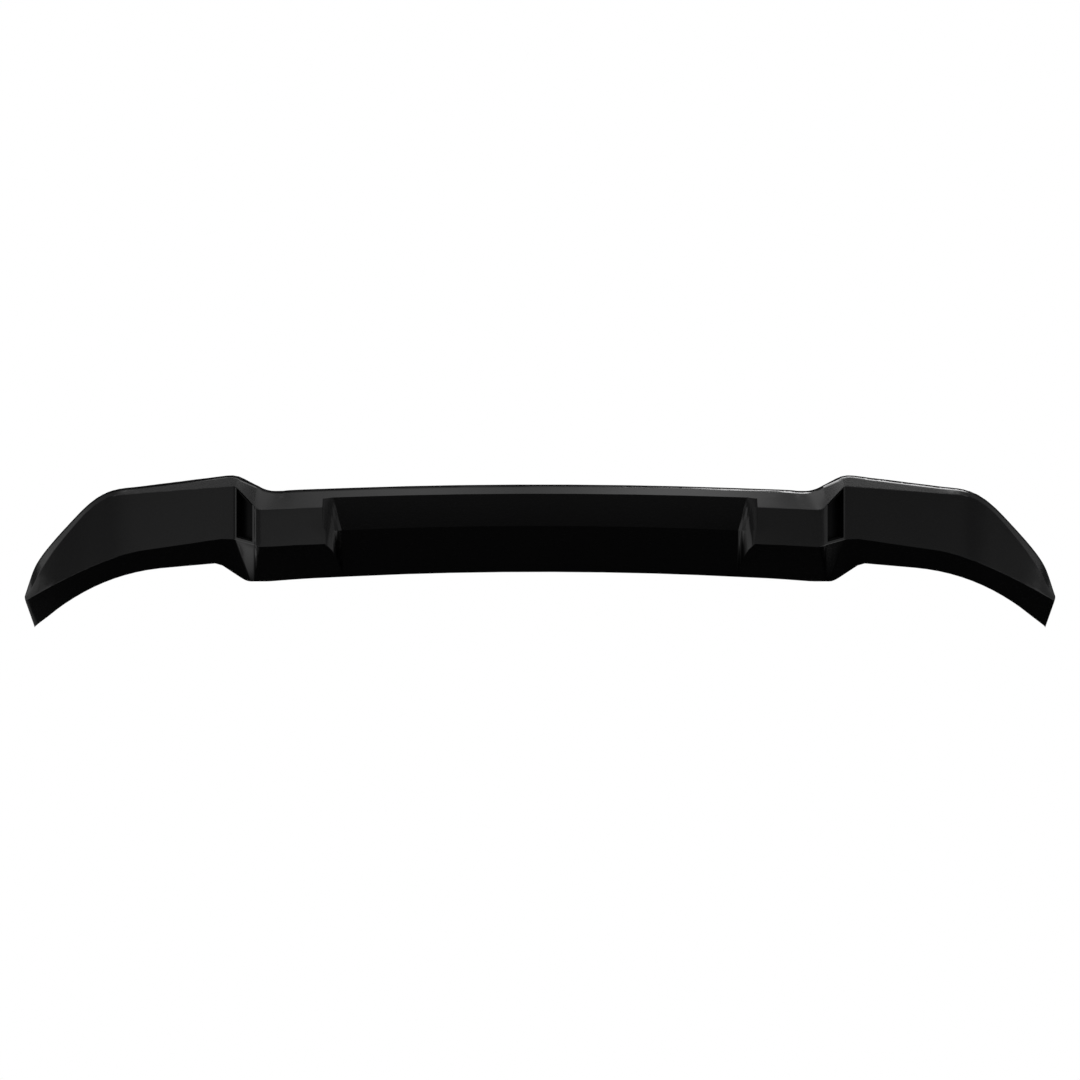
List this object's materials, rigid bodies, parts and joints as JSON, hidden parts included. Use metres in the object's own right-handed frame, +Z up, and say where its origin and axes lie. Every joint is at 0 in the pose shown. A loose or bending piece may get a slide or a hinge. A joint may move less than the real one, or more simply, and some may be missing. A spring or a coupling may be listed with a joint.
{
  "type": "rear spoiler",
  "caption": "Gloss black tailgate spoiler with raised wings, drooping tips, a stepped lower centre with a visor recess, blind vent slots and mounting studs.",
  "frame": {"origin": "midway between the inner pair of mounting studs, on the plane of the stud boss faces", "axes": "+X to the right seen from behind the vehicle, +Y towards the front of the vehicle, +Z up"},
  "size_m": [1.3034, 0.2178, 0.1918],
  "materials": {
    "gloss_shell": "gloss black lacquer over moulded ABS",
    "vent_plastic": "black moulded plastic",
    "stud_steel": "zinc plated steel",
    "foam_rubber": "matt black closed-cell foam"
  },
  "bodies": {
    "root": {"upper_shell": "gloss_shell", "lower_shell": "gloss_shell", "left_vent_insert": "vent_plastic", "right_vent_insert": "vent_plastic", "mounting_studs": "stud_steel", "stud_seals": "foam_rubber", "front_tape": "foam_rubber", "rear_tape": "foam_rubber"}
  },
  "joints": []
}
